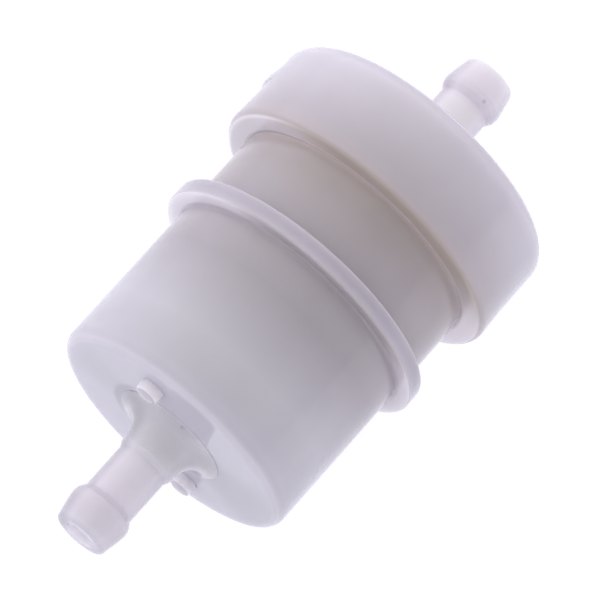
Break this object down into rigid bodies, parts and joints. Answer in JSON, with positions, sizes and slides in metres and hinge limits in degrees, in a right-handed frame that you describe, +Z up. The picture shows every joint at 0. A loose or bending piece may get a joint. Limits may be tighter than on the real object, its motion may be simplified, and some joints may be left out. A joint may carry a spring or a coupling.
{
  "type": "in-line fuel filter",
  "caption": "Sealed in-line fuel filter: milky round plastic housing with a side flange, a larger welded cap and a hose barb on each end.",
  "frame": {"origin": "centre of the inlet barb's mouth, where the fuel hose pushes on", "axes": "+X along the filter's axis in the direction of flow, from the inlet barb to the outlet barb; +Z up as it lies; one of the two round lugs on the inlet face points 79 degrees from +Y towards +Z"},
  "size_m": [0.0769, 0.0396, 0.0396],
  "materials": {
    "housing_nylon": "milky translucent, glossy",
    "filter_paper": "resin-treated pleated paper",
    "element_plastic": "moulded, satin",
    "seal_rubber": "smooth nitrile"
  },
  "bodies": {
    "root": {"housing_body": "housing_nylon", "housing_cap": "housing_nylon", "element_inlet_disc": "element_plastic", "element_outlet_disc": "element_plastic", "element_core": "element_plastic", "filter_paper": "filter_paper", "outlet_seal_ring": "seal_rubber"}
  },
  "joints": []
}
